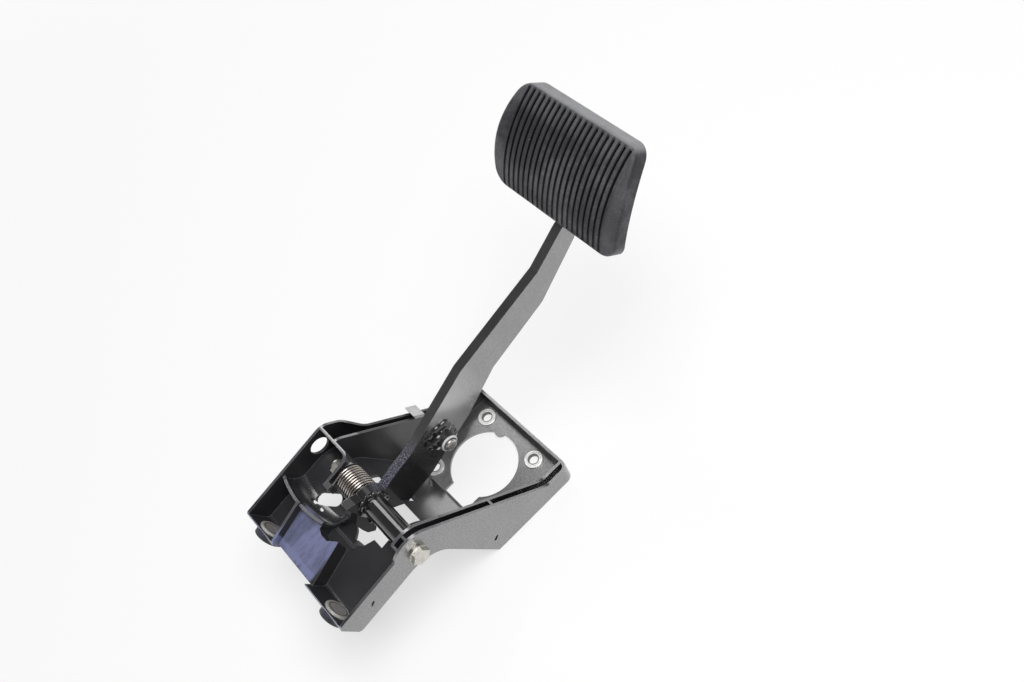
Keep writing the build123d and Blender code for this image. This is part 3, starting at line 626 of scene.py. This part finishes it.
for name, points, closed, radius, seed in beads:
    weld = grown(
        name,
        points,
        bead_tree,
        closed,
        Radius=radius,
        Step=radius * step_share,
        Jitter=radius * jitter_share,
        Seed=seed,
        Material=weld_paint,
    )
    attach(weld, "pedal")


# Pushrod pin
# Turned steel with a domed end, pressed through the arm.
pin_steel = steel("pin_steel", (0.55, 0.53, 0.51), (0.36, 0.35, 0.34), roughness=0.30)
dress(nodes["pushrod_pin"], pin_steel)


# Return spring
# Oil-tempered wire wound left-handed on the tube: a warm grey metal, with painted shade between the
# turns and on their lower side. One leg bears on the bracket's lug, the other hooks through the arm.
coil_start, coil_pitch, coil_turns, coil_radius, spring_wire = -0.025, 0.0027, 8.5, 0.0122, 0.00098
shade_inside = (coil_radius + 0.0005, coil_radius - 0.0001)
shade_below, shade_behind = (0.008, 0.003), (0.0, -0.004)
painted_coil_shade = (0.035, 0.030, 0.027, 1)
spring_steel = steel("spring_steel", (0.66, 0.60, 0.56), (0.46, 0.415, 0.385), roughness=0.24)
wire, shader, place, metal = reopened(spring_steel)
along, up = axes_of(wire, place)[1:]
beyond, above = along - pivot_y, up - pivot_z
inside = span(radius_of(beyond, above), *shade_inside)
below = span(above, *shade_below) * span(beyond, *shade_behind)
# The darker inner side of the wire and its lower side are painted shade.
feed(shader, Base_Color=wire.math("MAXIMUM", inside * 0.9, below * 0.75).tint(metal, painted_coil_shade))

wire_tree, given, result = node_tree(
    "round_wire",
    Radius=("NodeSocketFloat", 0.001),
    Sides=("NodeSocketInt", 12),
    Material=("NodeSocketMaterial", None),
)
path = joined(wire_tree, "GeometryNodeMeshToCurve", {0: given.outputs["Geometry"]})
section = joined(
    wire_tree,
    "GeometryNodeCurvePrimitiveCircle",
    {"Resolution": given.outputs["Sides"], "Radius": given.outputs["Radius"]},
)
drawn = joined(
    wire_tree,
    "GeometryNodeCurveToMesh",
    {0: path.outputs[0], 1: section.outputs[0], "Fill Caps": True},
)
smooth = joined(wire_tree, "GeometryNodeSetShadeSmooth", {0: drawn.outputs[0]})
real = joined(wire_tree, "GeometryNodeRealizeInstances", {0: smooth.outputs[0]})
finished = joined(
    wire_tree,
    "GeometryNodeSetMaterial",
    {0: real.outputs[0], "Material": given.outputs["Material"]},
)
wire_tree.links.new(finished.outputs[0], result.inputs[0])

lean = math.radians(15.0)
out_of_coil = Vector((0, -math.sin(lean), math.cos(lean)))
round_coil = Vector((0, math.cos(lean), math.sin(lean)))
turn_steps, bend_steps = 48, 6
coil = []
for i in range(int(coil_turns * turn_steps) + 1):
    t = 2 * math.pi * i / turn_steps
    centre = Vector((coil_start + coil_pitch * i / turn_steps, pivot_y, pivot_z))
    coil.append(centre + coil_radius * (math.cos(t) * out_of_coil + math.sin(t) * round_coil))
left_leg, right_leg, hook_length, bend = 0.017, 0.015, 0.014, 0.0022
foot = [coil[0] - round_coil * left_leg * part for part in (1.0, 0.66, 0.33)]
corner = coil[-1] - round_coil * right_leg
hook = [coil[-1] - round_coil * (right_leg - bend) * part for part in (0.5, 1.0)]
for i in range(1, bend_steps + 1):
    t = math.pi / 2 * i / bend_steps
    hook.append(corner + round_coil * bend * (1 - math.sin(t)) + Vector((bend * (1 - math.cos(t)), 0, 0)))
hook.append(corner + Vector((hook_length, 0, 0)))
run = foot + coil + hook
spring = grown("spring_wire", run, wire_tree, Radius=spring_wire, Sides=14, Material=spring_steel)
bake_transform(spring)
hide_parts("return_spring")


# Bolt thread
# The rolled thread on the bolt's end where it stands out of the nut: a fine ridge wound on the
# shank, in the same zinc.
thread_start, thread_end, thread_pitch, thread_steps = -0.0446, -0.0415, 0.00125, 24
thread_radius, ridge_radius = 0.0049, 0.00042
helix = []
for i in range(int((thread_end - thread_start) / thread_pitch * thread_steps) + 1):
    t = 2 * math.pi * i / thread_steps
    helix.append(
        (
            thread_start + thread_pitch * i / thread_steps,
            pivot_y + thread_radius * math.cos(t),
            pivot_z + thread_radius * math.sin(t),
        )
    )
thread = grown("bolt_thread", helix, wire_tree, Radius=ridge_radius, Sides=6, Material=plated_steel)
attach(thread, "bracket")


# Wall clip
# A small cap of pale grey plastic, moulded and pushed over the left wall's rim.
clip_dark, clip_pale, clip_edge = (0.42, 0.42, 0.42), (0.54, 0.54, 0.54), (0.68, 0.68, 0.68, 1)
grey_plastic, wire, shader = new_finish("grey_plastic")
place = place_of(wire)
rounded, edge = edges(wire, 0.0005, 0.15)
grain = noise(wire, place, 1500, 3.0)
cloud = noise(wire, place, 120, 4.0)
bare = cloud.ramp((0.3, clip_dark), (0.7, clip_pale))
feed(
    shader,
    Base_Color=(edge * 0.5).tint(bare, clip_edge),
    Roughness=cloud * 0.2 + 0.45,
    Normal=bump(wire, grain, rounded, 0.00008, 0.4),
)
dress(nodes["wall_clip"], grey_plastic)


# Pad plate
# Pressed steel, arched and welded to the arm's end, under the same black paint.
dress(nodes["pad_plate"], black_paint)


# Rubber pad
# Moulded black rubber stretched over the plate, with grooves along the foot. Worn grey and dusty on
# the crown, with painted shade in the grooves and on their lips, and a painted reflection on the
# far side and the rolled border.
rubber_dark, rubber_pale = (0.018, 0.018, 0.021), (0.052, 0.052, 0.059)
grain_grey, mottle_black = (0.086, 0.086, 0.096, 1), (0.016, 0.016, 0.018, 1)
dust_pale, scuff_and_sheen_pale = (0.135, 0.134, 0.142, 1), (0.24, 0.24, 0.25, 1)
stain_black = (0.008, 0.007, 0.008, 1)
border_reflection_grey, edge_grey = (0.105, 0.105, 0.117, 1), (0.11, 0.11, 0.12, 1)
pad_lip_shade, pad_groove_shade = (0.006, 0.006, 0.008, 1), (0.002, 0.002, 0.003, 1)
pad_back, pad_up = 0.780, 0.626
pad_centre, groove_pitch, groove_count = 0.0045, 0.00575, 20
first_groove = pad_centre - (groove_count - 1) / 2 * groove_pitch
groove_floor, groove_ends = (0.0979, 0.0975), (0.0874, 0.0882)
grooves_left, grooves_right = (-0.0520, -0.0513), (0.0610, 0.0603)
lip_width, rib_ends = (0.0016, 0.0011), (0.0886, 0.0896)
ribs_left, ribs_right = (-0.0530, -0.0520), (0.0630, 0.0620)
border_right, border_far = (0.0610, 0.0640), (0.2630, 0.2665)
stain_at, stain_size = (-0.034, 0.182, 0.254), (0.034, 0.010)

pad_rubber, wire, shader = new_finish("pad_rubber")
place = place_of(wire)
rounded, edge = edges(wire, 0.0008, 0.2)
grain = noise(wire, place, 1100, 5.0, 0.65)
cloud = noise(wire, place, 34, 6.0, 0.65)
dust = noise(wire, place, 300, 6.0, 0.75).ramp((0.46, 0.0), (0.70, 1.0))
fleck = noise(wire, place, 700, 2.0, 0.5).ramp((0.73, 0.0), (0.76, 1.0))
sideways, along, up = axes_of(wire, place)
faces_side, faces_along, faces_up = facing_of(wire)
deep = radius_of(along - crown_y, up - crown_z)
over = (up - crown_z) * pad_up - (along - crown_y) * pad_back
groove = span(deep, *groove_floor) * span(over, *groove_ends)
groove = groove * span(sideways, *grooves_left) * span(sideways, *grooves_right)
ribbed = span(over, *rib_ends) * span(sideways, *ribs_left) * span(sideways, *ribs_right)
lips = span(wire.math("PINGPONG", sideways - first_groove, groove_pitch / 2), *lip_width) * ribbed
far_side = span(faces_along * pad_up + faces_up * pad_back, 0.7, 0.9)
border = wire.math("MAXIMUM", span(sideways, *border_right), span(up, *border_far))
border = border * (1 - groove) * span(faces_side, 0.85, 0.5)
from_stain = wire.add("ShaderNodeVectorMath", {"operation": "DISTANCE"}, {0: place, 1: stain_at}, "Value")
stain = span(from_stain, *stain_size) * cloud.ramp((0.30, 0.3), (0.60, 1.0))
colour = cloud.ramp((0.36, rubber_dark), (0.62, rubber_pale))
colour = grain.ramp((0.40, 0.0), (0.62, 1.0)).tint(colour, grain_grey)
colour = (cloud.ramp((0.36, 1.0), (0.62, 0.0)) * 0.75).tint(colour, mottle_black)
colour = (dust * cloud.ramp((0.44, 0.1), (0.62, 1.0)) * 0.8).tint(colour, dust_pale)
colour = (stain * (0.6 + grain * 0.5)).tint(colour, stain_black)
colour = (fleck * 0.8).tint(colour, scuff_and_sheen_pale)
# The paler border and far side are a painted reflection; the pale flecks are scuffs.
colour = (border * (cloud * 0.5 + 0.2)).tint(colour, border_reflection_grey)
colour = (far_side * (cloud * 0.6 + 0.5)).tint(colour, scuff_and_sheen_pale)
colour = (edge * 0.45).tint(colour, edge_grey)
# The dark lips and the near black in the grooves are painted shade.
colour = (lips * 0.8).tint(colour, pad_lip_shade)
feed(
    shader,
    Base_Color=(groove * 0.95).tint(colour, pad_groove_shade),
    Roughness=cloud * 0.25 + dust * 0.12 + groove * 0.2 + 0.34,
    Specular_IOR_Level=0.28,
    Coat_Weight=(1 - groove) * (1 - lips) * cloud.ramp((0.40, 0.0), (0.65, 0.4)),
    Coat_Roughness=0.3,
    Normal=bump(wire, grain * 0.7 + dust * 0.3, rounded, 0.0004, 0.8),
)
dress(nodes["rubber_pad"], pad_rubber)
